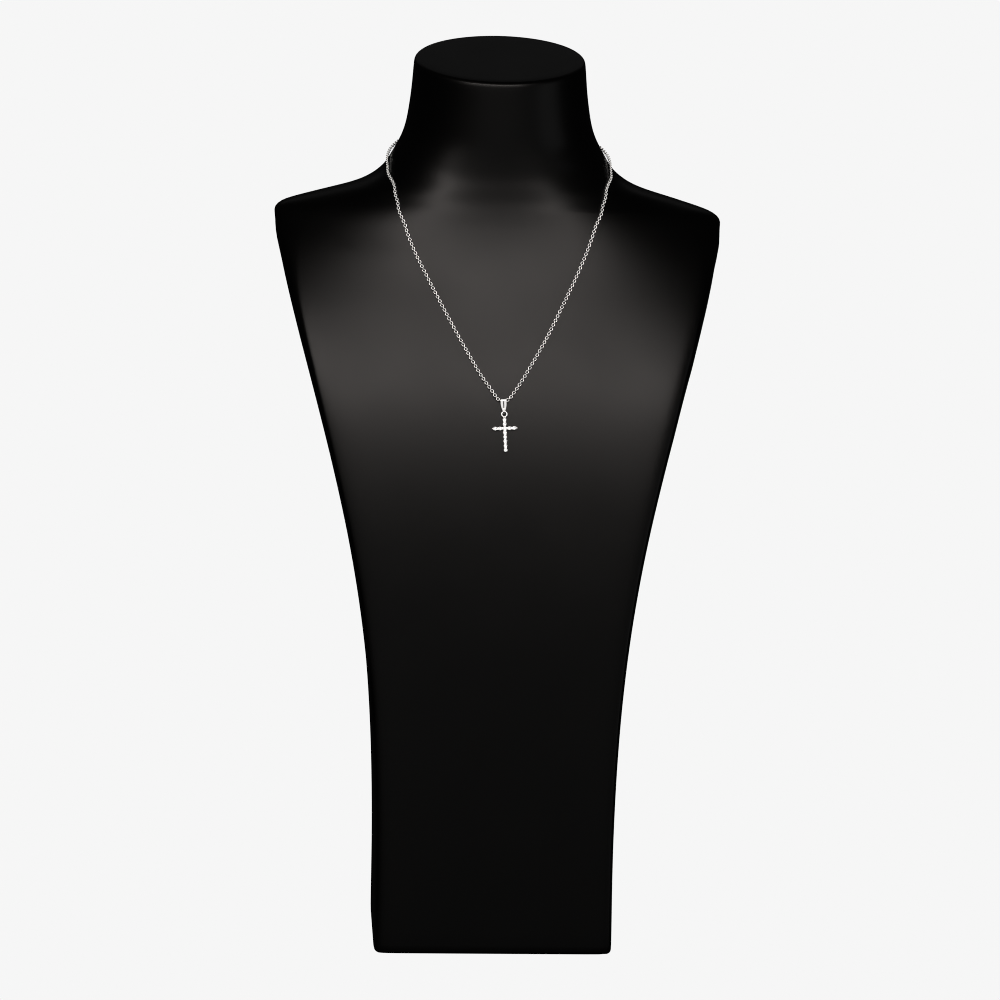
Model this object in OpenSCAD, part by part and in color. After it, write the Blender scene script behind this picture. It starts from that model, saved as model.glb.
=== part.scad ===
// Cross pendant on a fine chain, worn by a tall neck bust.
// The origin is in the middle of the bust's footprint, on the surface that it stands on.
// The chest faces -Y, and +X is the side at a viewer's right hand.

/* [Bust] */
// Height of the bust at the middle of its neck top
bust_h = 451.2; // [400:5:500]
// Height of the shoulder tips
shoulder_h = 366; // [340:2:380]
// Width across the shoulder tips
shoulder_w = 230; // [205:1:250]
// Width of the foot
foot_w = 122; // [105:1:140]
// Width of the neck at its top
neck_w = 88.5; // [80:0.5:96]
// Depth of the neck, front to back
neck_d = 84.5; // [76:0.5:92]
// How far the foot's front stands ahead of the neck's front
chest_reach = 53; // [44:1:62]
// How far the foot's back stands ahead of the neck's back
back_tuck = 31; // [22:1:40]
// How far the chest's front curves back at the shoulder tips
chest_crown = 20; // [14:0.5:26]
// How far the right shoulder tip sags below the level of the middle
shoulder_sag = 1.6; // [0:0.2:3]
// Slope of the neck's top in degrees, front edge lower
top_slope = 14; // [9:0.5:18]
// Radius of the rounded edges of the neck's top and of the foot
rim_r = 2; // [1:0.25:3]

/* [Chain] */
// Distance from the level of the shoulder tips down to the chain's lowest point
hang_drop = 84.5; // [76:0.5:95]
// Sideways shift of the chain's lowest point from the middle
hang_x = 1.4; // [0:0.1:3]
// Outer diameter of the chain
chain_d = 1.5; // [1.3:0.05:1.7]
// Gap between the bust and what lies on it
lie_gap = 0.3; // [0.2:0.05:0.4]

/* [Clasp] */
// Length of the clasp between the middles of its two eyes
clasp_l = 10; // [8:0.5:13]
// Thickness of the clasp's body
clasp_t = 2; // [1.7:0.1:2.3]
// Thickness of the clasp's eyes
eye_t = 0.6; // [0.5:0.05:0.8]
// Width of the clasp's body
clasp_w = 4.2; // [3.6:0.1:5]
// Outer diameter of the clasp's eyes
eye_d = 2.6; // [2.3:0.1:3]
// Hole in the clasp's eyes
eye_hole = 1.2; // [1:0.1:1.4]

/* [Bail] */
// Thickness of the bail's strap
strap_t = 0.45; // [0.35:0.05:0.55]
// Widest width of the bail
bail_w = 2.85; // [2.6:0.05:3.2]
// Width of the bail's lower tip
tip_w = 0.6; // [0.5:0.05:0.65]
// Distance from the chain in the bail to the ring's wire in it
bail_drop = 5.4; // [4.8:0.1:6]
// Width of the slot through the bail
slot_w = 0.6; // [0.5:0.05:0.7]
// Length of the slot through the bail
slot_l = 3.6; // [3:0.1:4]
// Clearance in the bail round the chain
bail_gap = 0.25; // [0.2:0.05:0.3]

/* [Cross] */
// Outer diameter of the ring on the cross
ring_d = 3.5; // [3.3:0.05:3.8]
// Wire diameter of the ring
wire_d = 0.85; // [0.75:0.05:0.9]
// Distance from the ring's middle to the first stone
first_drop = 2.8; // [2.7:0.05:3.2]
// Distance between neighbouring stones of the upright
stone_pitch = 2.2; // [2.1:0.05:2.4]
// Distance between neighbouring stones of the arms
arm_pitch = 2.4; // [2.25:0.05:2.55]
// Outer diameter of a stone's collet
collet_d = 1.8; // [1.75:0.05:1.9]
// Depth of the collets, back to front
collet_h = 1.45; // [1.4:0.05:1.6]
// Width of the bar that joins the collets
bar_w = 1.1; // [0.9:0.05:1.2]
// Diameter of a claw
claw_d = 0.5; // [0.4:0.02:0.54]
// How far the claws stand above the collets
claw_h = 0.3; // [0.2:0.05:0.4]
// Diameter of the bead at the end of each arm
bead_d = 1; // [0.8:0.05:1.2]
// Lean of the bail in degrees, its foot towards +X
bail_lean = 4; // [2:0.5:6]
// Lean of the cross in degrees, its foot towards +X
cross_lean = 2.5; // [0:0.5:5]

/* [Stones] */
// Diameter of the round brilliants
stone_d = 1.5; // [1.45:0.01:1.55]
// Clearance between a stone and its seat
seat_gap = 0.04; // [0.03:0.01:0.06]

/* [Hidden] */
$fn = 32;

// Colours
velvet_black = [0.05, 0.05, 0.05];
bright_metal = [0.85, 0.85, 0.86];
clear_stone = [0.93, 0.96, 1];

// Sections of the bust. Columns: up, the share of the shoulders' height below them and of the neck's
// height above them; out, the share of the way from the foot's or neck's width to the shoulders';
// fore and aft, shares of chest_reach and back_tuck; squareness, 2 for an ellipse and more as the
// section squares up; crown, the share of chest_crown; slope, the share of top_slope.
function up(row) = row[0];
function out(row) = row[1];
function fore(row) = row[2];
function aft(row) = row[3];
function squareness(row) = row[4];
function crown(row) = row[5];
function slope(row) = row[6];
BODY_SECTIONS = [
    [0.00, 0.000, 1.000, 1.00, 24, 0.00, 0],
    [0.16, 0.000, 0.996, 1.00, 24, 0.00, 0],
    [0.33, 0.050, 0.970, 0.97, 24, 0.00, 0],
    [0.45, 0.135, 0.930, 0.90, 24, 0.02, 0],
    [0.56, 0.260, 0.857, 0.78, 24, 0.04, 0],
    [0.67, 0.430, 0.737, 0.63, 24, 0.07, 0],
    [0.78, 0.630, 0.557, 0.47, 22, 0.13, 0],
    [0.88, 0.820, 0.332, 0.32, 16, 0.28, 0],
    [0.95, 0.940, 0.178, 0.21, 9, 0.60, 0],
    [1.00, 1.000, 0.090, 0.14, 4.4, 1.00, 0]];
NECK_SECTIONS = [
    [0.10, 0.965, 0.057, 0.10, 3.1, 1.15, 0.00],
    [0.165, 0.720, 0.038, 0.06, 2.7, 0.95, 0.00],
    [0.24, 0.410, 0.021, 0.03, 2.4, 0.45, 0.00],
    [0.32, 0.245, 0.008, 0.01, 2.2, 0.15, 0.10],
    [0.43, 0.150, 0.001, 0.00, 2.05, 0, 0.25],
    [0.55, 0.075, 0.000, 0.00, 2.0, 0.00, 0.50],
    [0.70, 0.035, 0.000, 0.01, 2.0, 0.00, 0.80],
    [1.00, 0.000, 0.000, 0.02, 2.0, 0.00, 1.00]];

// The neck's axis stands where the whole footprint, the clasp included, is centred on the origin
neck_y = (chest_reach - lie_gap - clasp_t) / 2;
neck_front = neck_y - neck_d / 2;
neck_back = neck_y + neck_d / 2;

function mix(a, b, share) = a + (b - a) * share;

// Columns of a worked-out section: height, half width, front, back, squareness, crown and slope
function height(row) = row[0];
function half(row) = row[1];
function front(row) = row[2];
function back(row) = row[3];
function worked_out(row, low_h, high_h, narrow_w) = [
    mix(low_h, high_h, up(row)),
    mix(narrow_w, shoulder_w, out(row)) / 2,
    neck_front - chest_reach * fore(row),
    neck_back - back_tuck * aft(row),
    squareness(row),
    chest_crown * crown(row),
    top_slope * slope(row)];
SECTIONS = concat(
    [for (row = BODY_SECTIONS) worked_out(row, 0, shoulder_h, foot_w)],
    [for (row = NECK_SECTIONS) worked_out(row, shoulder_h, bust_h, neck_w)]);
last_row = len(SECTIONS) - 1;

// Smooth curve through the sections, as functions of the height
function rise_of(i) = height(SECTIONS[i + 1]) - height(SECTIONS[i]);
function chord(i) = (SECTIONS[i + 1] - SECTIONS[i]) / rise_of(i);
function tangent(i) =
    i == 0 ? chord(0) :
    i == last_row ? chord(last_row - 1) :
    (chord(i - 1) * rise_of(i) + chord(i) * rise_of(i - 1)) / (rise_of(i - 1) + rise_of(i));
function row_below(h, i = last_row - 1) = i == 0 || height(SECTIONS[i]) <= h ? i : row_below(h, i - 1);
function section(h) =
    let (i = row_below(h), gap = rise_of(i), s = (h - height(SECTIONS[i])) / gap)
    SECTIONS[i] * (1 + 2 * s) * pow(1 - s, 2) + tangent(i) * gap * s * pow(1 - s, 2)
    + SECTIONS[i + 1] * s * s * (3 - 2 * s) + tangent(i + 1) * gap * s * s * (s - 1);

// A point on the bust's skin: its height, its turn round the section from the front's middle, and
// how far it is drawn in from the skin
function skin(h, turn, inset = 0) =
    let (
        at = section(h),
        square = squareness(at),
        round_off = pow(pow(abs(sin(turn)), square) + pow(abs(cos(turn)), square), 1 / square),
        across = sin(turn) / round_off,
        ahead = cos(turn) / round_off,
        x = (half(at) - inset) * across,
        y = (front(at) + back(at)) / 2 - ((back(at) - front(at)) / 2 - inset) * ahead
            + crown(at) * max(ahead, 0) * across * across,
        sag = shoulder_sag * x * abs(x) / pow(shoulder_w / 2, 2) * min(1, h / shoulder_h)
            * (1 - slope(at) / top_slope))
    [x, y, h + (y - neck_y) * tan(slope(at)) - sag];

function unit(v) = v / norm(v);
function outward(h, turn) =
    unit(cross(skin(h, turn + 1) - skin(h, turn - 1), skin(h + 1, turn) - skin(h - 1, turn)));
function above_skin(h, turn, lift) = skin(h, turn) + lift * outward(h, turn);

function middle(ring) = [for (p = ring) 1 / len(ring)] * ring;
// Joins a stack of rings of points into a solid, each end a fan round its middle
module stack(rings) {
    n = len(rings[0]);
    last = len(rings) - 1;
    points = concat([for (ring = rings) for (p = ring) p], [middle(rings[0]), middle(rings[last])]);
    sides = [for (i = [0 : last - 1]) for (k = [0 : n - 1])
        let (a = i * n + k, b = i * n + (k + 1) % n)
        for (face = [[a, a + n, b], [b, a + n, b + n]]) face];
    first_fan = [for (k = [0 : n - 1]) [k, (k + 1) % n, (last + 1) * n]];
    last_fan = [for (k = [0 : n - 1]) [last * n + (k + 1) % n, last * n + k, (last + 1) * n + 1]];
    polyhedron(points, concat(sides, first_fan, last_fan));
}

// The bust
// Turns of a ring's points, closer together at the section's four corners the squarer it is
quarter_steps = 14;
corner_pull = 1.5;
function pulled(s, square) = sign(s) * pow(abs(s), 1 + corner_pull * (1 - 2 / square));
function ring_turns(square) = [for (quarter = [0 : 3]) for (k = [0 : quarter_steps - 1])
    90 * quarter + 45 + 45 * pulled(2 * k / quarter_steps - 1, square)];
// Rings for each stretch between two sections, and round a rounded rim
stretch_rings = 3;
rim_rings = 3;
function rim_inset(s) = rim_r * (1 - cos(90 * s));
function rim_height(s) = rim_r * sin(90 * s);
body_heights = [for (i = [0 : last_row - 1]) for (k = [0 : stretch_rings - 1])
    mix(height(SECTIONS[i]), height(SECTIONS[i + 1]), k / stretch_rings)];
skin_heights = [for (h = body_heights) if (h > rim_r && h < bust_h - rim_r) h];
function bust_ring(h, inset) =
    [for (turn = ring_turns(squareness(section(h)))) skin(h, turn, inset)];
module neck_bust() {
    color(velvet_black)
        stack(concat(
            [for (k = [rim_rings : -1 : 0])
                bust_ring(rim_r - rim_height(k / rim_rings), rim_inset(k / rim_rings))],
            [for (h = skin_heights) bust_ring(h, 0)],
            [for (k = [0 : rim_rings])
                bust_ring(bust_h - rim_r + rim_height(k / rim_rings), rim_inset(k / rim_rings))]));
}

// The chain's route up one side. Columns: rise, the height above the hanging point; turn, round the
// bust; shift, the share of hang_x; lift, the share of the extra lift that the bail gives; steps,
// the number of rings from this stop to the next.
function rise(stop) = stop[0];
function turn(stop) = stop[1];
function shift(stop) = stop[2];
function lift(stop) = stop[3];
function steps(stop) = stop[4];
CHAIN_ROUTE = [
    [0.0, 0.0, 1.0, 1.00, 1],
    [0.1, 0.8, 1.0, 1.00, 1],
    [0.8, 1.7, 1.0, 0.95, 1],
    [2.0, 2.3, 1.0, 0.90, 1],
    [4.0, 3.1, 1.0, 0.80, 1],
    [7.5, 4.6, 1.0, 0.60, 1],
    [13, 6.7, 0.8, 0.35, 2],
    [23, 9.9, 0.8, 0.10, 2],
    [33, 12.7, 0.7, 0.00, 1],
    [43, 15.1, 0.5, 0.00, 1],
    [53, 17.3, 0.3, 0.00, 1],
    [63, 19.3, 0.1, 0.00, 1],
    [73, 21.0, -0.2, 0.00, 1],
    [82, 22.3, -0.3, 0.00, 2],
    [90, 23.8, -0.3, 0.05, 2],
    [95, 26.8, -0.2, 0.10, 2],
    [99, 31.8, -0.1, 0.10, 2],
    [103, 39.5, 0.0, 0.10, 2],
    [107, 49.8, 0.0, 0.10, 2],
    [111, 62.5, 0.0, 0.10, 2],
    [116, 78.0, 0.0, 0.15, 2],
    [120.5, 95.0, 0.0, 0.15, 2],
    [124.5, 113.0, 0.0, 0.15, 2],
    [127.5, 131.0, 0.0, 0.15, 2],
    [129.5, 149.0, 0.0, 0.15, 2]];
nape_rise = 130.5;
hang_h = shoulder_h - hang_drop;
nape_h = hang_h + nape_rise;
chain_r = chain_d / 2;
chain_lift = lie_gap + chain_r;
bail_lift = strap_t + bail_gap;
// The chain ends a small gap short of the clasp's eyes
clasp_end = clasp_l / 2 + eye_d / 2 + 0.35;
nape_turn = 180 - asin(clasp_end / (half(section(nape_h)) + chain_lift));
route = concat(CHAIN_ROUTE, [[nape_rise, nape_turn, 0, 0.15, 0]]);
last_stop = len(route) - 1;

function spline(a, b, c, d, s) =
    (2 * b + (c - a) * s + (2 * a - 5 * b + 4 * c - d) * s * s + (3 * b - a - 3 * c + d) * pow(s, 3)) / 2;
function mirrored(stop) = [rise(stop), -turn(stop), shift(stop), lift(stop), steps(stop)];
function stop_before(i) = i == 0 ? mirrored(route[1]) : route[i - 1];
function stop_after(i) = i + 2 > last_stop ? 2 * route[i + 1] - route[i] : route[i + 2];
function on_route(i, s, side) =
    let (at = spline(stop_before(i), route[i], route[i + 1], stop_after(i), s))
    above_skin(hang_h + rise(at), side * turn(at), chain_lift + bail_lift * lift(at))
    + [hang_x * shift(at), 0, 0];

function side_points(side) = [for (i = [0 : last_stop - 1]) for (k = [0 : steps(route[i]) - 1])
    on_route(i, k / steps(route[i]), side)];
right_side = concat(side_points(1), [on_route(last_stop - 1, 1, 1)]);
left_side = concat(side_points(-1), [on_route(last_stop - 1, 1, -1)]);
chain_line = concat(
    [for (i = [len(left_side) - 1 : -1 : 1]) left_side[i]],
    right_side);

chain_sides = 8;
function along(line, i) = unit(line[min(i + 1, len(line) - 1)] - line[max(i - 1, 0)]);
// Ring of a tube: its flat directions are taken from the line from the bust's middle
function tube_ring(line, i, r) =
    let (
        ahead = along(line, i),
        out = unit([line[i][0], line[i][1] - neck_y, 0]),
        side = unit(cross(out, ahead)),
        up = cross(ahead, side))
    [for (k = [0 : chain_sides - 1])
        line[i] + r * (cos(360 * k / chain_sides) * side + sin(360 * k / chain_sides) * up)];
module chain() {
    color(bright_metal)
        stack([for (i = [0 : len(chain_line) - 1]) tube_ring(chain_line, i, chain_r)]);
}

// The clasp lies flat against the nape
nape_y = skin(nape_h, 180)[1];
nape_z = above_skin(nape_h, nape_turn, 0)[2];
eye_x = clasp_l / 2;
belly_x = clasp_l * 0.12;
module clasp_body() {
    tail_w = eye_d * 0.8;
    difference() {
        union() {
            translate([belly_x, 0]) circle(d = clasp_w, $fn = 48);
            polygon([
                [eye_x - eye_d / 2, -tail_w / 2], [eye_x - eye_d / 2, tail_w / 2],
                [belly_x, clasp_w * 0.46], [eye_d / 2 - eye_x, tail_w / 2],
                [eye_d / 2 - eye_x, -tail_w / 2], [belly_x, -clasp_w * 0.46]]);
        }
        translate([belly_x, 0]) circle(d = clasp_w * 0.5);
    }
}
module clasp_eye(side) {
    difference() {
        union() {
            translate([side * eye_x, 0]) circle(d = eye_d);
            translate([side * (eye_x - eye_d * 0.4), 0]) square([eye_d * 0.6, eye_hole], center = true);
        }
        translate([side * eye_x, 0]) circle(d = eye_hole);
    }
}
module clasp() {
    color(bright_metal)
        translate([0, nape_y + lie_gap + clasp_t, nape_z])
            rotate([90, 0, 0]) {
                linear_extrude(clasp_t) clasp_body();
                for (side = [-1, 1])
                    translate([0, 0, (clasp_t - eye_t) / 2])
                        linear_extrude(eye_t) clasp_eye(side);
            }
}

// The pendant's own frame: x to the right, z up along the chest, and -y straight out of it.
// Its origin is on the chest behind the chain's lowest point.
pendant_l = bail_drop + ring_d + first_drop + 7 * stone_pitch;
hang_point = skin(hang_h, 0);
foot_point = skin(hang_h - pendant_l, 0);
chest_lean = atan((hang_point[1] - foot_point[1]) / (hang_point[2] - foot_point[2]));
module on_chest() {
    translate([hang_x, hang_point[1], hang_point[2]])
        rotate([-chest_lean, 0, 0]) rotate([0, -bail_lean, 0]) children();
}

// The bail: a strap that wraps the chain above and the ring's wire below
chain_out = chain_lift + bail_lift;
loop_r = chain_r + bail_gap + strap_t;
wire_gap = 0.2;
foot_r = wire_d / 2 + wire_gap + strap_t;
wire_out = lie_gap + foot_r;
// Angle between the strap's front and its back
front_tilt = 2 * atan((loop_r - foot_r) / bail_drop);
function arc(centre, r, start, end, steps) = [for (k = [0 : steps])
    let (angle = mix(start, end, k / steps)) centre + r * [cos(angle), sin(angle)]];
module bail_side(top_r, low_r) {
    polygon(concat(
        arc([chain_out, 0], top_r, -front_tilt, 180, 16),
        arc([wire_out, -bail_drop], low_r, 180, 360 - front_tilt, 12)));
}
taper_steps = 8;
function taper(share) = mix(bail_w / 2, tip_w * 0.7, pow(share, 2.6));
module bail_front() {
    polygon(concat(
        arc([0, 0], bail_w / 2, 0, 180, 16),
        [for (k = [1 : taper_steps]) [-taper(k / taper_steps), -bail_drop * k / taper_steps]],
        [[-tip_w * 0.45, -bail_drop - 2 * foot_r], [tip_w * 0.45, -bail_drop - 2 * foot_r]],
        [for (k = [taper_steps : -1 : 1]) [taper(k / taper_steps), -bail_drop * k / taper_steps]]));
}
slot_top = -0.2;
module slot_cut() {
    polygon(concat(
        arc([0, slot_top - slot_w / 2], slot_w / 2, 0, 180, 8),
        arc([0, slot_top - slot_l + slot_w / 2], slot_w / 2, 180, 360, 8)));
}
// Stands a drawing of the side view, drawn as distance out of the chest and height, across x
module across_x(width) {
    rotate([0, 0, -90]) rotate([90, 0, 0]) translate([0, 0, -width / 2]) linear_extrude(width) children();
}
// Stands a drawing of the front view out of the chest, from one distance to another
module out_of_chest(near, far) {
    translate([0, -near, 0]) rotate([90, 0, 0]) linear_extrude(far - near) children();
}
module bail() {
    color(bright_metal)
        on_chest()
            difference() {
                intersection() {
                    across_x(2 * bail_w) difference() {
                        bail_side(loop_r, foot_r);
                        bail_side(loop_r - strap_t, foot_r - strap_t);
                    }
                    out_of_chest(0, 2 * chain_out + loop_r) bail_front();
                }
                out_of_chest(0, 2 * chain_out + loop_r) slot_cut();
            }
}

// The cross, in its own frame: the origin is the ring's middle, on the chest's surface
ring_r = (ring_d - wire_d) / 2;
ring_z = -bail_drop - ring_r;
module cross_frame() {
    on_chest() translate([0, 0, ring_z]) rotate([0, bail_lean - cross_lean, 0]) children();
}
// Seats of the stones: x and z of the upright's, top to bottom, and then of the arms', left to right
upright_stones = 8;
crossing = 2;
crossing_z = -first_drop - crossing * stone_pitch;
upright_seats = [for (i = [0 : upright_stones - 1]) [0, -first_drop - i * stone_pitch]];
arm_seats = [for (k = [-2, -1, 1, 2]) [k * arm_pitch, crossing_z]];
SEATS = concat(upright_seats, arm_seats);
foot_z = -first_drop - (upright_stones - 1) * stone_pitch;
bead_x = 2 * arm_pitch + (collet_d + bead_d) / 2 - 0.1;
bar_end = bead_x - bead_d * 0.2;
collet_top = lie_gap + collet_h;
girdle_out = collet_top - 0.12;

module in_place(seat) {
    translate([seat[0], 0, seat[1]]) rotate([90, 0, 0]) children();
}
// One claw with a domed end, standing on the back plane
module claw(seat) {
    in_place(seat) rotate_extrude($fn = 16) claw_profile();
}
module claw_profile() {
    tall = collet_top + claw_h - claw_d / 2;
    translate([0, lie_gap + 0.3]) square([claw_d / 2, tall - lie_gap - 0.3]);
    intersection() {
        translate([0, tall]) circle(d = claw_d);
        translate([0, tall]) square(claw_d);
    }
}
// Claws stand in pairs between neighbouring stones and beyond the last ones
claw_side = collet_d * 0.34;
end_step = collet_d * 0.4;
module upright_claws() {
    between = [for (i = [0 : upright_stones - 2]) -first_drop - (i + 0.5) * stone_pitch];
    for (z = concat([end_step - first_drop], between, [foot_z - end_step]))
        for (side = [-1, 1]) claw([side * claw_side, z]);
}
module arm_claws() {
    for (x = [1.5 * arm_pitch, 2 * arm_pitch + end_step])
        for (way = [-1, 1]) for (side = [-1, 1])
            claw([way * x, crossing_z + side * claw_side]);
}
module cross_bars() {
    translate([-bar_w / 2, foot_z]) square([bar_w, -foot_z - ring_r]);
    translate([-bar_end, crossing_z - bar_w / 2]) square([2 * bar_end, bar_w]);
}
module seat_cut() {
    pavilion = stone_d * 0.43;
    wide = stone_d / 2 + seat_gap;
    narrow = stone_d * 0.2;
    translate([0, 0, lie_gap - 0.5]) cylinder(r = narrow, h = 3);
    translate([0, 0, girdle_out - seat_gap]) cylinder(r = wide, h = 2);
    translate([0, 0, girdle_out - seat_gap - pavilion * (wide - narrow) / wide])
        cylinder(r1 = narrow, r2 = wide, h = pavilion * (wide - narrow) / wide);
}
module cross() {
    color(bright_metal)
        cross_frame() {
            difference() {
                union() {
                    out_of_chest(lie_gap, collet_top - 0.25) cross_bars();
                    for (seat = SEATS) in_place(seat)
                        translate([0, 0, lie_gap]) cylinder(d1 = collet_d * 0.9, d2 = collet_d, h = collet_h);
                    upright_claws();
                    arm_claws();
                }
                for (seat = SEATS) in_place(seat) seat_cut();
            }
            for (way = [-1, 1])
                in_place([way * bead_x, crossing_z])
                    translate([0, 0, collet_top - bead_d * 0.45])
                        rotate([0, 0, 90 - 90 * way]) sphere(d = bead_d);
            translate([0, -wire_out, 0]) rotate([90, 0, 0])
                rotate_extrude() translate([ring_r, 0]) circle(d = wire_d, $fn = 24);
        }
}

// A round brilliant with its table out, its girdle at the origin
module brilliant() {
    table_r = stone_d * 0.29;
    star_r = stone_d * 0.41;
    crown_h = stone_d * 0.15;
    pavilion = stone_d * 0.41;
    girdle_h = stone_d * 0.03;
    function around(r, z, n, start) = [for (k = [0 : n - 1])
        [r * cos(start + 360 * k / n), r * sin(start + 360 * k / n), z]];
    table = around(table_r, crown_h, 8, 0);
    kites = around(star_r, crown_h * 0.58, 8, 22.5);
    upper = around(stone_d / 2, 0, 16, 0);
    lower = around(stone_d / 2, -girdle_h, 16, 0);
    culet = [[0, 0, -girdle_h - pavilion]];
    crown_faces = [for (k = [0 : 7])
        let (t = k, t2 = (k + 1) % 8, m = 8 + k, m0 = 8 + (k + 7) % 8,
            g = 16 + 2 * k, g1 = g + 1, g2 = 16 + (2 * k + 2) % 16)
        for (face = [[t, t2, m], [t, m, g], [t, g, m0], [m, g1, g], [m, g2, g1]]) face];
    girdle_faces = [for (k = [0 : 15])
        let (a = 16 + k, b = 16 + (k + 1) % 16)
        for (face = [[a, b, a + 16], [b, b + 16, a + 16]]) face];
    pavilion_faces = [for (k = [0 : 15]) [32 + k, 32 + (k + 1) % 16, 48]];
    polyhedron(
        concat(table, kites, upper, lower, culet),
        concat([[7, 6, 5, 4, 3, 2, 1, 0]], crown_faces, girdle_faces, pavilion_faces));
}
module stone(number) {
    color(clear_stone)
        cross_frame() in_place(SEATS[number - 1]) translate([0, 0, girdle_out]) brilliant();
}

neck_bust();
chain();
clasp();
bail();
cross();
stone(1);  // stone_01
stone(2);  // stone_02
stone(3);  // stone_03
stone(4);  // stone_04
stone(5);  // stone_05
stone(6);  // stone_06
stone(7);  // stone_07
stone(8);  // stone_08
stone(9);  // stone_09
stone(10);  // stone_10
stone(11);  // stone_11
stone(12);  // stone_12
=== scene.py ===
# Cross pendant on a fine chain, worn by a tall black neck bust.
import math

import bpy
from mathutils import Matrix, Vector
from mathutils.bvhtree import BVHTree


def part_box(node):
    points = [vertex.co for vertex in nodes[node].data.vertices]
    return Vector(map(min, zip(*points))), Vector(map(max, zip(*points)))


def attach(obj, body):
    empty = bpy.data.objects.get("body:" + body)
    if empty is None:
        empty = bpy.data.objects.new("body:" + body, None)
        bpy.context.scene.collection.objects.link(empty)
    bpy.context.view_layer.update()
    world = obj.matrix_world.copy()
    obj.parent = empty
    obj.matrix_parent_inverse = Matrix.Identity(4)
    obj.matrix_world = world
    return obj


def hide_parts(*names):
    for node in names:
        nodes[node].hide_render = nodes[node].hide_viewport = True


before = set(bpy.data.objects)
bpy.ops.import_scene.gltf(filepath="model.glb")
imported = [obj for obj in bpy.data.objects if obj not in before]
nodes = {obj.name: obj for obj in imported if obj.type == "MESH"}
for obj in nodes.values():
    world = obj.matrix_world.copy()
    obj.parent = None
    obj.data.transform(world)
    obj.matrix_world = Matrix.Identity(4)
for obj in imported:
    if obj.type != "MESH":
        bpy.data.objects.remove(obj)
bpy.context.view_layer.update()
MM = 0.001
# Corners of CAD triangles nearer than this are one corner
SAME_CORNER = 0.002 * MM
# Where most of a noise texture's values lie
NOISE_SPAN = {"From Min": 0.3, "From Max": 0.7}
# The picture's pale ground
GROUND = "#f6f6f6"


def only(*pieces):
    """Selects just these pieces, the first one active."""
    bpy.ops.object.select_all(action="DESELECT")
    for piece in pieces:
        piece.select_set(True)
    bpy.context.view_layer.objects.active = pieces[0]


def edit_picked(piece, wanted):
    """Goes into edit mode with just the vertices selected that wanted() says."""
    only(piece)
    bpy.ops.object.mode_set(mode="EDIT")
    bpy.ops.mesh.select_mode(type="VERT")
    bpy.ops.mesh.select_all(action="DESELECT")
    bpy.ops.object.mode_set(mode="OBJECT")
    for vertex in piece.data.vertices:
        vertex.select = wanted(vertex)
    bpy.ops.object.mode_set(mode="EDIT")


def edit_all(piece):
    """Goes into edit mode with all of the piece selected."""
    only(piece)
    bpy.ops.object.mode_set(mode="EDIT")
    bpy.ops.mesh.select_all(action="SELECT")


def leave_edit():
    bpy.ops.object.mode_set(mode="OBJECT")


def new_piece(name):
    """Names the primitive that was just added."""
    piece = bpy.context.object
    piece.name = piece.data.name = name
    return piece


def apply_modifier(piece, kind, **settings):
    only(piece)
    modifier = piece.modifiers.new(kind.lower(), kind)
    for key, value in settings.items():
        setattr(modifier, key, value)
    bpy.ops.object.modifier_apply(modifier=modifier.name)


def solid_copy(node, name):
    """A copy of a CAD node with its loose triangles merged, which stands for the node."""
    piece = nodes[node].copy()
    piece.data = nodes[node].data.copy()
    bpy.context.collection.objects.link(piece)
    piece.name = piece.data.name = name
    edit_all(piece)
    bpy.ops.mesh.remove_doubles(threshold=SAME_CORNER)
    leave_edit()
    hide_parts(node)
    return piece


def finish_piece(piece, material):
    piece.data.materials.clear()
    piece.data.materials.append(material)
    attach(piece, "root")


def linear(code):
    """An sRGB hex colour as linear values with full alpha."""
    values = [int(code[i:i + 2], 16) / 255 for i in (1, 3, 5)]
    return [v / 12.92 if v <= 0.04045 else ((v + 0.055) / 1.055) ** 2.4 for v in values] + [1.0]


def add(tree, kind, values=None, links=None, **settings):
    """Adds a node with its settings, the values of its sockets and the outputs that feed them."""
    made = tree.nodes.new(kind)
    for key, value in settings.items():
        setattr(made, key, value)
    for socket, value in (values or {}).items():
        made.inputs[socket].default_value = value
    for socket, (source, output) in (links or {}).items():
        tree.links.new(source.outputs[output], made.inputs[socket])
    return made


def new_material(name):
    material = bpy.data.materials.new(name)
    material.use_nodes = True
    material.node_tree.nodes.clear()
    return material, material.node_tree


def black_leatherette():
    """PU leatherette stretched over a moulded core: satin black with a fine pebbled grain, so
    that a soft light makes one broad warm-grey bloom on the chest and the rest stays deep black."""
    material, tree = new_material("black leatherette")
    place = add(tree, "ShaderNodeTexCoord")
    # Pebbles about 0.9 mm across, finer than the render can show one by one
    pebble = 0.9 * MM
    pebbles = add(tree, "ShaderNodeTexVoronoi", {"Scale": 1 / pebble, "Randomness": 0.9},
                  {"Vector": (place, "Object")}, feature="SMOOTH_F1")
    # Patches about 40 mm across, where the cover is pulled tighter and shines a little more
    patch = 40 * MM
    pull = add(tree, "ShaderNodeTexNoise", {"Scale": 1 / patch, "Detail": 2.0},
               {"Vector": (place, "Object")})
    grain = add(tree, "ShaderNodeBump", {"Strength": 0.12, "Distance": 0.05 * MM},
                {"Height": (pebbles, "Distance")})
    rough = add(tree, "ShaderNodeMapRange", {**NOISE_SPAN, "To Min": 0.33, "To Max": 0.36},
                {"Value": (pull, "Fac")})
    surface = add(tree, "ShaderNodeBsdfPrincipled",
                  {"Base Color": linear("#050505"), "IOR": 1.5, "Metallic": 0.0},
                  {"Roughness": (rough, "Result"), "Normal": (grain, "Normal")})
    add(tree, "ShaderNodeOutputMaterial", links={"Surface": (surface, "BSDF")})
    return material


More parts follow.
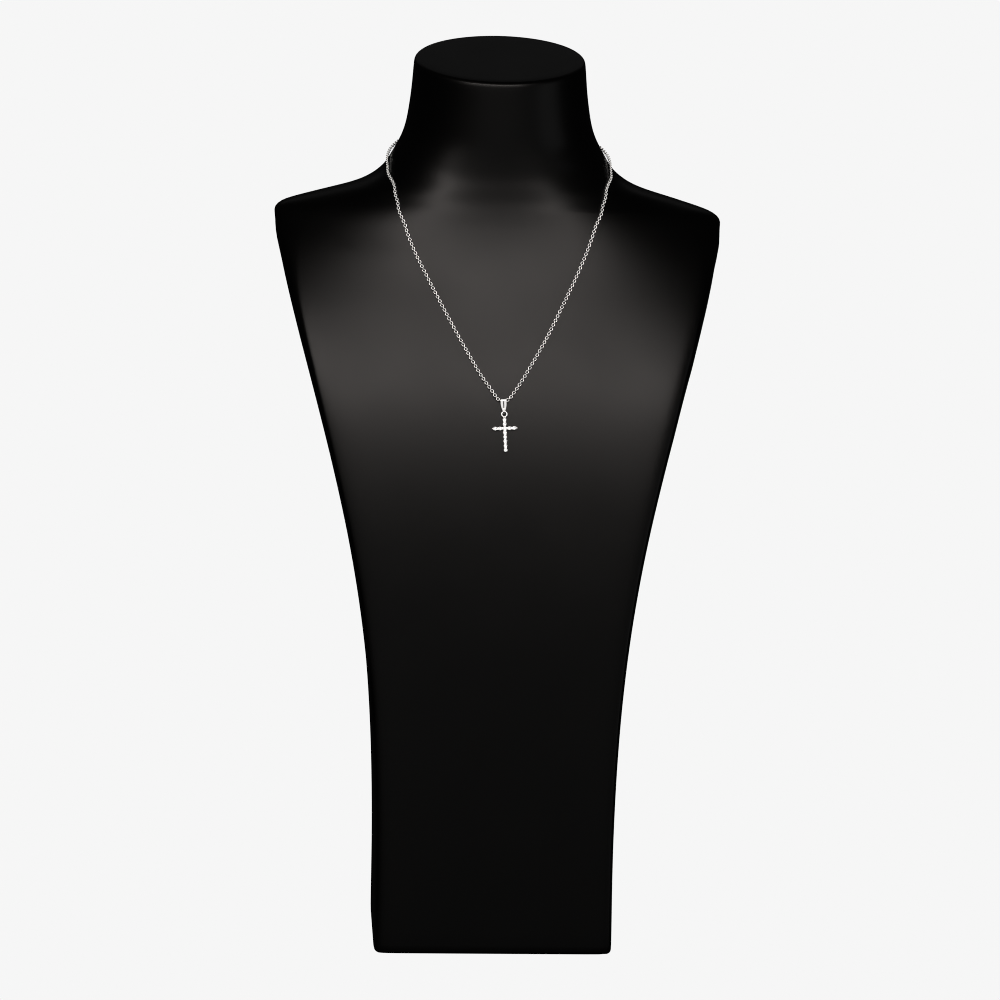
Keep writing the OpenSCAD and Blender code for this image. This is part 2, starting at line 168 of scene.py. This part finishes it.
def polished_silver(name, colour, roughness, scratch):
    """Polished sterling silver, bare or plated with rhodium, which is a little darker: near white,
    with faint wiping marks."""
    material, tree = new_material(name)
    place = add(tree, "ShaderNodeTexCoord")
    # Wiping marks about 0.15 mm apart
    mark = 0.15 * MM
    marks = add(tree, "ShaderNodeTexNoise", {"Scale": 1 / mark, "Detail": 3.0},
                {"Vector": (place, "Object")})
    rough = add(tree, "ShaderNodeMapRange",
                {**NOISE_SPAN, "To Min": roughness - scratch, "To Max": roughness + scratch},
                {"Value": (marks, "Fac")})
    surface = add(tree, "ShaderNodeBsdfPrincipled", {"Base Color": linear(colour), "Metallic": 1.0},
                  {"Roughness": (rough, "Result")})
    add(tree, "ShaderNodeOutputMaterial", links={"Surface": (surface, "BSDF")})
    return material


def cubic_zirconia():
    """Clear cubic zirconia, cut and polished on a wheel: sharp facets with strong white sparkle,
    and polishing lines too fine to see one by one that soften it a little."""
    material, tree = new_material("clear cubic zirconia")
    place = add(tree, "ShaderNodeTexCoord")
    # Polishing lines about 0.05 mm apart
    groove = 0.05 * MM
    lines = add(tree, "ShaderNodeTexNoise", {"Scale": 1 / groove, "Detail": 1.0},
                {"Vector": (place, "Object")})
    rough = add(tree, "ShaderNodeMapRange", {**NOISE_SPAN, "To Min": 0.0, "To Max": 0.03},
                {"Value": (lines, "Fac")})
    surface = add(tree, "ShaderNodeBsdfPrincipled",
                  {"Base Color": linear("#ffffff"), "IOR": 2.16, "Transmission Weight": 1.0},
                  {"Roughness": (rough, "Result")})
    add(tree, "ShaderNodeOutputMaterial", links={"Surface": (surface, "BSDF")})
    return material


leatherette = black_leatherette()
chain_silver = polished_silver("polished chain silver", "#f6f4f1", 0.2, 0.04)
pendant_silver = polished_silver("rhodium-plated pendant silver", "#e4e2e0", 0.18, 0.04)
zirconia = cubic_zirconia()


# The bust: its triangles are paired into four-sided faces, which are then rounded once
PAIRING = math.radians(60)
bust = solid_copy("neck_bust", "bust_covering")
edit_all(bust)
bpy.ops.mesh.tris_convert_to_quads(face_threshold=PAIRING, shape_threshold=PAIRING)
leave_edit()
apply_modifier(bust, "SUBSURF", levels=1, render_levels=1)
only(bust)
bpy.ops.object.shade_smooth()
finish_piece(bust, leatherette)
bust_skin = BVHTree.FromObject(bust, bpy.context.evaluated_depsgraph_get())


# The chain: oval links of round wire, each turned a quarter against the next
WIRE = 0.36 * MM
LINK_LONG = 2.0 * MM
LINK_WIDE = 1.72 * MM
PITCH = LINK_LONG - 2 * WIRE
LINK_SIDES = 14
# The rings at its ends, through the clasp's eyes
END_RING = 2.2 * MM
END_WIRE = 0.36 * MM
END_RING_SIDES = 20
# From the tip of an eye of the clasp in to the middle of the ring that hangs in it
RING_DEPTH = 0.35 * MM
WIRE_SIDES = 6
# The CAD tube has 8 sides; each of its stretches is walked in 8 steps
TUBE_SIDES = 8
STRETCH_STEPS = 8


def tube_line(node, start):
    """Centres of the rings of a CAD tube, from the end nearest to start to the other end.

    Known fault: the middle of the far end's cap counts as one more ring, so the line ends in a
    stretch with no length. The smooth curve turns back on itself there, and the last two links
    lie folded against the clasp."""
    mesh = nodes[node].data
    index = {}
    places = []
    same = []
    for vertex in mesh.vertices:
        key = tuple(round(c / SAME_CORNER) for c in vertex.co)
        if key not in index:
            index[key] = len(places)
            places.append(vertex.co.copy())
        same.append(index[key])
    near = [set() for _ in places]
    for edge in mesh.edges:
        a, b = (same[v] for v in edge.vertices)
        near[a].add(b)
        near[b].add(a)
    ring = set(sorted(range(len(places)), key=lambda i: (places[i] - start).length)[:TUBE_SIDES])
    seen = set(ring)
    centres = []
    while ring:
        centres.append(sum((places[i] for i in ring), Vector()) / len(ring))
        ring = {j for i in ring for j in near[i]} - seen
        seen |= ring
    return centres


def curved(points, i, s):
    """A point on the smooth curve through points, between points i and i + 1."""
    b, c = points[i], points[i + 1]
    a = points[i - 1] if i > 0 else 2 * b - c
    d = points[i + 2] if i + 2 < len(points) else 2 * c - b
    return 0.5 * (2 * b + (c - a) * s + (2 * a - 5 * b + 4 * c - d) * s ** 2
                  + (3 * b - a - 3 * c + d) * s ** 3)


def evenly(points, pitch):
    """Points about a pitch apart along a line, from end to end. They are even in number, so the
    links between them are odd in number and the two end links lie the same way round."""
    lengths = [0.0]
    for a, b in zip(points, points[1:]):
        lengths.append(lengths[-1] + (b - a).length)
    count = 2 * round(lengths[-1] / pitch / 2) + 1
    stops = []
    k = 0
    for n in range(count + 1):
        want = lengths[-1] * n / count
        while k < len(lengths) - 2 and lengths[k + 1] < want:
            k += 1
        share = (want - lengths[k]) / (lengths[k + 1] - lengths[k])
        stops.append(points[k].lerp(points[k + 1], share))
    return stops


def one_link():
    """One oval link of round wire, lying in the plane of X and Y, long in X."""
    bpy.ops.object.select_all(action="DESELECT")
    bpy.ops.mesh.primitive_torus_add(major_segments=LINK_SIDES, minor_segments=WIRE_SIDES,
                                     major_radius=(LINK_WIDE - WIRE) / 2, minor_radius=WIRE / 2)
    link = new_piece("link")
    stretch = (LINK_LONG - LINK_WIDE) / 2
    for way in (-1, 1):
        edit_picked(link, lambda v: v.co.x * way > 0)
        bpy.ops.transform.translate(value=(way * stretch, 0, 0))
        leave_edit()
    only(link)
    bpy.ops.object.shade_smooth()
    return link


clasp_low, clasp_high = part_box("clasp")
clasp_middle = (clasp_low + clasp_high) / 2
line = tube_line("chain", Vector((clasp_high.x, clasp_high.y, clasp_middle.z)))
fine_line = [curved(line, i, k / STRETCH_STEPS)
             for i in range(len(line) - 1) for k in range(STRETCH_STEPS)] + [line[-1]]
stops = evenly(fine_line, PITCH)


def place_link(link, middle, ahead, side, out):
    """A copy of the link with its length along ahead, its width along side and its wire's
    thickness along out."""
    copy = link.copy()
    copy.data = link.data.copy()
    bpy.context.collection.objects.link(copy)
    copy.matrix_world = (Matrix.Translation(middle)
                         @ Matrix((ahead, side, out)).transposed().to_4x4())
    return copy


link = one_link()
links = []
for n in range(len(stops) - 1):
    middle = (stops[n] + stops[n + 1]) / 2
    ahead = (stops[n + 1] - stops[n]).normalized()
    out = bust_skin.find_nearest(middle)[1]
    side = out.cross(ahead).normalized()
    out = ahead.cross(side)
    if n % 2:
        side, out = out, -side
    links.append(place_link(link, middle, ahead, side, out))
bpy.data.objects.remove(link)
bpy.ops.object.select_all(action="DESELECT")
bpy.ops.mesh.primitive_torus_add(major_segments=END_RING_SIDES, minor_segments=WIRE_SIDES,
                                 major_radius=(END_RING - END_WIRE) / 2, minor_radius=END_WIRE / 2)
bpy.ops.object.shade_smooth()
ring = new_piece("end_ring")
for way in (-1, 1):
    # The end of the clasp's eye, and from it the ring's middle so that it passes through the hole
    eye_end = Vector((clasp_high.x if way > 0 else clasp_low.x, clasp_middle.y, clasp_middle.z))
    middle = eye_end + Vector((-way * RING_DEPTH, 0, 0))
    links.append(place_link(ring, middle, *Matrix.Identity(3)))
bpy.data.objects.remove(ring)
only(*links)
bpy.ops.object.join()
chain = bpy.context.object
chain.name = chain.data.name = "chain_links"
bpy.ops.object.transform_apply(location=True, rotation=True, scale=True)
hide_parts("chain")
finish_piece(chain, chain_silver)


# Faces within half a degree of each other are one flat face, and what turns more than 40 degrees is
# an edge to round
FLAT = math.radians(0.5)
SHARP = math.radians(40)
SMOOTHED = math.radians(35)

jewels = [chain]
# Node, name, width of the rounded edges in mm, slot, material
for node, name, edge, slot, material in (
        ("bail", "pendant_bail", 0.05, "pendant_metal", pendant_silver),
        ("cross", "cross_setting", 0.03, "pendant_metal", pendant_silver),
        ("clasp", "chain_clasp", 0.12, "chain_metal", chain_silver)):
    piece = solid_copy(node, name)
    edit_all(piece)
    bpy.ops.mesh.dissolve_limited(angle_limit=FLAT)
    leave_edit()
    apply_modifier(piece, "BEVEL", width=edge * MM, segments=2, limit_method="ANGLE",
                   angle_limit=SHARP)
    only(piece)
    bpy.ops.object.shade_smooth_by_angle(angle=SMOOTHED)
    finish_piece(piece, material)
    jewels.append(piece)

for number in range(1, 13):
    stone = nodes["stone_%02d" % number]
    for place in stone.material_slots:
        place.material = zirconia
    jewels.append(stone)


def pale_floor():
    """White studio sweep, lit so evenly that it shows one pale grey with no shade or gloss: it
    glows by itself, in the grey of the picture's ground."""
    material, tree = new_material("pale studio floor")
    glow = add(tree, "ShaderNodeEmission", {"Color": linear(GROUND), "Strength": 1.0})
    add(tree, "ShaderNodeOutputMaterial", links={"Surface": (glow, "Emission")})
    return material


FLOOR_SIZE = 8.0
bpy.ops.object.select_all(action="DESELECT")
bpy.ops.mesh.primitive_plane_add(size=FLOOR_SIZE)
floor = new_piece("studio_floor")
floor.data.materials.append(pale_floor())
floor.visible_glossy = False
floor.visible_diffuse = False
floor.visible_transmission = False

# The room: the camera sees the pale ground, and the pieces see a nearly dark room
ROOM_LIGHT = 0.004
world = bpy.data.worlds.new("studio")
bpy.context.scene.world = world
world.use_nodes = True
tree = world.node_tree
tree.nodes.clear()
ground = add(tree, "ShaderNodeBackground", {"Color": linear(GROUND), "Strength": 1.0})
room = add(tree, "ShaderNodeBackground", {"Color": linear("#ffffff"), "Strength": ROOM_LIGHT})
rays = add(tree, "ShaderNodeLightPath")
shown = add(tree, "ShaderNodeMixShader", links={"Fac": (rays, "Is Camera Ray")})
tree.links.new(room.outputs[0], shown.inputs[1])
tree.links.new(ground.outputs[0], shown.inputs[2])
add(tree, "ShaderNodeOutputWorld", links={"Surface": (shown, "Shader")})


def direction(azimuth, elevation):
    """The way to a lamp or camera; azimuth 0 is in front of the chest, and positive to a viewer's
    right."""
    az, el = math.radians(azimuth), math.radians(elevation)
    return Vector((math.sin(az) * math.cos(el), -math.cos(az) * math.cos(el), math.sin(el)))


WHITE = (1, 1, 1)
WARM_WHITE = (1, 0.93, 0.89)


def softbox(name, azimuth, elevation, distance, size, power, colour=WHITE):
    """A rectangular softbox, aimed at the chest: angles in degrees, distance and size in metres,
    power in watts."""
    aim = Vector((0, 0, 0.3))
    place = aim + distance * direction(azimuth, elevation)
    light = bpy.data.lights.new(name, "AREA")
    light.shape = "RECTANGLE"
    light.size, light.size_y = size
    light.energy = power
    light.color = colour
    lamp = bpy.data.objects.new(name, light)
    bpy.context.collection.objects.link(lamp)
    lamp.location = place
    lamp.rotation_euler = (aim - place).to_track_quat("-Z", "Y").to_euler()
    return lamp


softbox("key_softbox", -8, 30, 4.0, (4.6, 0.7), 43, WARM_WHITE)
softbox("front_panel", 12, -8, 2.6, (4.2, 1.4), 1.3)
softbox("right_panel", 62, 0, 2.2, (1.1, 1.4), 0.9)
softbox("back_softbox", 180, 35, 1.8, (1.6, 0.5), 0.12)

# Softboxes for the jewel alone, which keep the black bust out of their light
JEWEL_DISTANCE = 1.6
lit_jewels = bpy.data.collections.new("lit_jewels")
for piece in jewels:
    lit_jewels.objects.link(piece)
for name, azimuth, elevation, size, power in (
        ("jewel_front", 0, 12, (2.2, 1.6), 11),
        ("jewel_top", 0, 72, (2.6, 2.0), 16),
        ("jewel_left", -62, 12, (1.7, 1.8), 10),
        ("jewel_right", 62, 12, (1.7, 1.8), 10),
        ("jewel_far_left", -120, 12, (1.6, 1.8), 8),
        ("jewel_far_right", 120, 12, (1.6, 1.8), 8)):
    lamp = softbox(name, azimuth, elevation, JEWEL_DISTANCE, size, power)
    lamp.light_linking.receiver_collection = lit_jewels

# The camera: azimuth, elevation and roll in degrees, distance in metres
AZIMUTH, ELEVATION, ROLL = -2.65, 8.0, 0.98
DISTANCE = 2.468
TARGET = Vector((2.79, 0, 224.4)) * MM
# The lens, in pixels of the picture, and the sensor's width in mm
FOCAL_PIXELS = 4767.6
PICTURE_PIXELS = 1000
SENSOR = 36
back = direction(AZIMUTH, ELEVATION)
az, ro = math.radians(AZIMUTH), math.radians(ROLL)
right = Vector((math.cos(az), math.sin(az), 0))
up = back.cross(right)
right, up = right * math.cos(ro) + up * math.sin(ro), up * math.cos(ro) - right * math.sin(ro)
camera = bpy.data.objects.new("camera", bpy.data.cameras.new("camera"))
bpy.context.collection.objects.link(camera)
camera.matrix_world = (Matrix.Translation(TARGET + DISTANCE * back)
                       @ Matrix((right, up, back)).transposed().to_4x4())
camera.data.sensor_width = SENSOR
camera.data.lens = FOCAL_PIXELS * SENSOR / PICTURE_PIXELS
camera.data.clip_end = 20
bpy.context.scene.camera = camera
bpy.context.scene.view_settings.view_transform = "Standard"
# Keep the chain's links, each about three pixels wide, apart in the picture
bpy.context.scene.cycles.filter_width = 1.0
bpy.context.scene.cycles.denoising_prefilter = "NONE"
